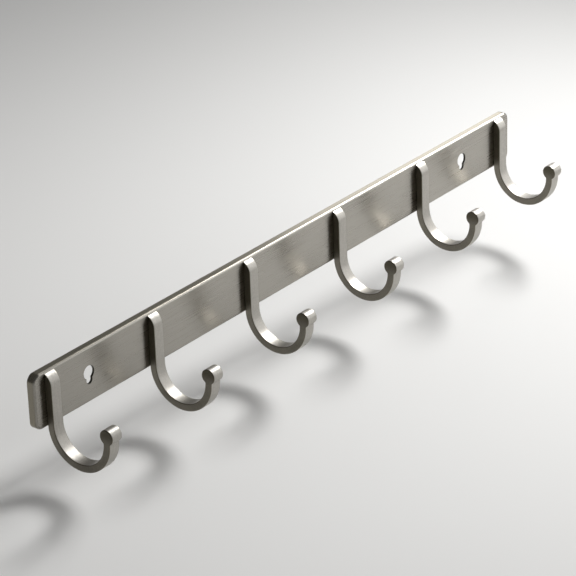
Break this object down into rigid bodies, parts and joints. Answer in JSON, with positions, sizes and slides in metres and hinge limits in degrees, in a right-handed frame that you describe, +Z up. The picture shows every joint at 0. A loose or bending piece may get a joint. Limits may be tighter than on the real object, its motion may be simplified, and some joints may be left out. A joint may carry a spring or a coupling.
{
  "type": "towel hook rail",
  "caption": "Wall rail of brushed steel: a shallow pressed tray with keyholes carries a row of J hooks with beaded tips.",
  "frame": {"origin": "middle of the rail's length and height, on the wall plane that the lip of the tray rests against", "axes": "+X along the rail to the right as seen from the room, -Y out of the wall towards the room, +Z up"},
  "size_m": [0.45, 0.0513, 0.0536],
  "materials": {
    "tray_steel": "brushed along its length, satin",
    "hook_steel": "satin brushed",
    "screw_steel": "plain zinc plated"
  },
  "bodies": {
    "root": {"wall_tray": "tray_steel", "hook_1": "hook_steel", "hook_2": "hook_steel", "hook_3": "hook_steel", "hook_4": "hook_steel", "hook_5": "hook_steel", "hook_6": "hook_steel", "hook_screws": "screw_steel"}
  },
  "joints": []
}
